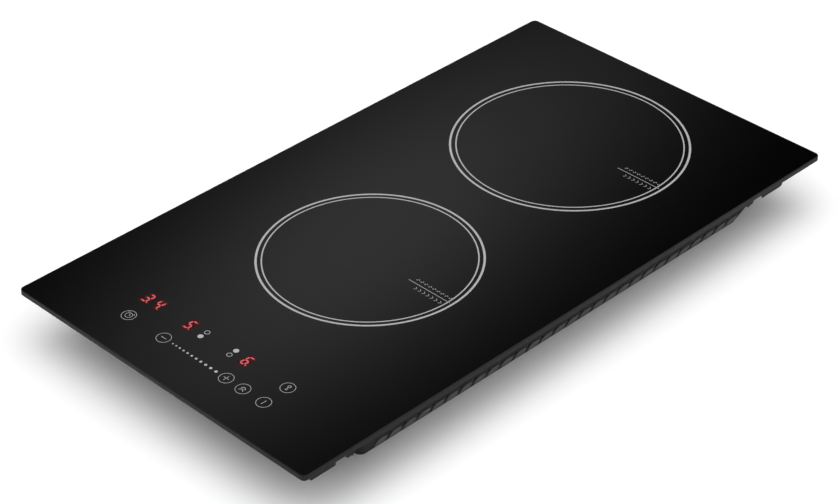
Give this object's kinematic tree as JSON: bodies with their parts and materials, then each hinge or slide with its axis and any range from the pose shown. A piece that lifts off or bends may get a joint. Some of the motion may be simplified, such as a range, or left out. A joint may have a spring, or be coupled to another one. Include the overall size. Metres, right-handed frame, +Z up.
{
  "type": "induction cooktop",
  "caption": "Flat built-in induction cooktop: black glass plate with ring-marked zones and touch keys over a slotted tray that holds sprung coils, a power board and a blower.",
  "frame": {"origin": "centre of the underside, in the plane of the tray's flat bottom", "axes": "+X to the right for someone standing at the controls, +Y to the back, +Z up through the glass"},
  "size_m": [0.288, 0.52, 0.056],
  "materials": {
    "glass_black": "polished black glass-ceramic, opaque, with light grey printed marks",
    "print_grey": "light grey fired print on the glass",
    "display_lit": "red light of the digits, seen through the glass",
    "seal_rubber": "matt foam rubber seal",
    "bond_silicone": "satin silicone adhesive bead",
    "frame_steel": "fine-textured dark grey powder coat",
    "tray_plastic": "matt dark grey moulded plastic with fine spark texture",
    "housing_plastic": "matt black moulded plastic",
    "board_green": "green solder mask over glass fibre board",
    "contact_brass": "bright gold-plated spring wire",
    "display_face": "dark smoked plastic with red segments",
    "lamp_clear": "clear moulded lamp bodies",
    "buzzer_black": "matt black plastic can",
    "ribbon_grey": "grey flat cable",
    "deck_aluminium": "plain mill-finish sheet",
    "screw_zinc": "bright zinc plate",
    "carrier_plastic": "matt glass-filled black plastic",
    "litz_copper": "twisted enamelled copper strands with a satin sheen",
    "ferrite_grey": "dull dark grey sintered ferrite",
    "insulation_mica": "pale mica sheet with fine flakes",
    "sensor_white": "off-white ceramic bead and silicone foot",
    "spring_steel": "drawn spring wire",
    "lead_sleeve": "braided red-brown sleeve",
    "heatsink_aluminium": "extruded aluminium with fine draw lines",
    "package_black": "matt moulded epoxy with tinned legs",
    "capacitor_blue": "glossy blue case",
    "capacitor_yellow": "glossy yellow case",
    "capacitor_sleeve": "shrunk dark sleeve over an aluminium can",
    "choke_copper": "enamelled copper wire on a toroid",
    "transformer_tape": "yellow tape round a ferrite core",
    "relay_case": "satin dark blue case",
    "fuse_ceramic": "white ceramic tube with plated caps",
    "fan_plastic": "matt black moulded plastic",
    "motor_copper": "wound stator with steel plates",
    "shaft_steel": "ground steel",
    "wire_cover": "smooth wire insulation in three colours",
    "box_plastic": "matt light grey moulded plastic",
    "block_plastic": "matt off-white moulded plastic",
    "screw_brass": "satin brass",
    "cover_plastic": "matt dark grey moulded plastic with fine spark texture",
    "gland_rubber": "matt black rubber",
    "clamp_zinc": "pressed sheet with bright zinc plate"
  },
  "bodies": {
    "base": {"glass_plate": "glass_black", "glass_seal": "seal_rubber", "glass_bond": "bond_silicone", "mounting_frame": "frame_steel", "control_housing": "housing_plastic", "touch_board": "board_green", "touch_springs": "contact_brass", "timer_display": "display_face", "front_zone_display": "display_face", "rear_zone_display": "display_face", "indicator_lamps": "lamp_clear", "buzzer": "buzzer_black", "ribbon_cable": "ribbon_grey", "coil_deck": "deck_aluminium", "deck_screws": "screw_zinc", "coil_guide_pins": "screw_zinc", "front_coil_springs": "spring_steel", "front_coil_leads": "lead_sleeve", "rear_coil_springs": "spring_steel", "rear_coil_leads": "lead_sleeve", "power_board": "board_green", "heatsink": "heatsink_aluminium", "power_transistors": "package_black", "bridge_rectifier": "package_black", "resonant_capacitors": "capacitor_blue", "filter_capacitors": "capacitor_yellow", "filter_choke": "choke_copper", "electrolytic_capacitors": "capacitor_sleeve", "standby_transformer": "transformer_tape", "mains_relay": "relay_case", "mains_fuse": "fuse_ceramic", "base_screws": "screw_zinc", "fan_housing": "fan_plastic", "fan_motor": "motor_copper", "mains_wires": "wire_cover", "bottom_tray": "tray_plastic", "frame_screws": "screw_zinc", "terminal_box": "box_plastic", "terminal_block": "block_plastic", "terminal_screws": "screw_brass", "cable_gland": "gland_rubber", "cable_clamp": "block_plastic", "clamp_screws": "screw_zinc"},
    "front_coil": {"front_coil_carrier": "carrier_plastic", "front_coil_winding": "litz_copper", "front_coil_ferrites": "ferrite_grey", "front_coil_insulation": "insulation_mica", "front_temp_sensor": "sensor_white"},
    "rear_coil": {"rear_coil_carrier": "carrier_plastic", "rear_coil_winding": "litz_copper", "rear_coil_ferrites": "ferrite_grey", "rear_coil_insulation": "insulation_mica", "rear_temp_sensor": "sensor_white"},
    "fan_rotor": {"fan_impeller": "fan_plastic", "fan_shaft": "shaft_steel"},
    "cover": {"terminal_cover": "cover_plastic"},
    "arm_front_left": {"clamp_front_left": "clamp_zinc"},
    "arm_front_right": {"clamp_front_right": "clamp_zinc"},
    "arm_rear_left": {"clamp_rear_left": "clamp_zinc"},
    "arm_rear_right": {"clamp_rear_right": "clamp_zinc"}
  },
  "joints": [
    {"name": "front_coil_float", "type": "slide", "parent": "base", "child": "front_coil", "axis": [0, 0, 1], "range_m": [-0.003, 0], "stiffness_N_per_m": 3000, "springref_m": 0.004, "deforming": ["front_coil_springs", "front_coil_leads"]},
    {"name": "rear_coil_float", "type": "slide", "parent": "base", "child": "rear_coil", "axis": [0, 0, 1], "range_m": [-0.003, 0], "stiffness_N_per_m": 3000, "springref_m": 0.004, "deforming": ["rear_coil_springs", "rear_coil_leads"]},
    {"name": "fan_spin", "type": "hinge", "parent": "base", "child": "fan_rotor", "pos_m": [0.048, 0.158, 0.016], "axis": [0, 0, 1], "continuous": true},
    {"name": "terminal_cover_hinge", "type": "hinge", "parent": "base", "child": "cover", "pos_m": [-0.053, 0.167, 0.0032], "axis": [-1, 0, 0], "range_deg": [0, 95]},
    {"name": "clamp_front_left_swing", "type": "hinge", "parent": "base", "child": "arm_front_left", "pos_m": [-0.076, -0.194, 0.0126], "axis": [0, 0, -1], "range_deg": [0, 90]},
    {"name": "clamp_front_right_swing", "type": "hinge", "parent": "base", "child": "arm_front_right", "pos_m": [0.076, -0.194, 0.0126], "axis": [0, 0, 1], "range_deg": [0, 90]},
    {"name": "clamp_rear_left_swing", "type": "hinge", "parent": "base", "child": "arm_rear_left", "pos_m": [-0.076, 0.231, 0.0126], "axis": [0, 0, -1], "range_deg": [0, 90]},
    {"name": "clamp_rear_right_swing", "type": "hinge", "parent": "base", "child": "arm_rear_right", "pos_m": [0.076, 0.231, 0.0126], "axis": [0, 0, 1], "range_deg": [0, 90]}
  ]
}
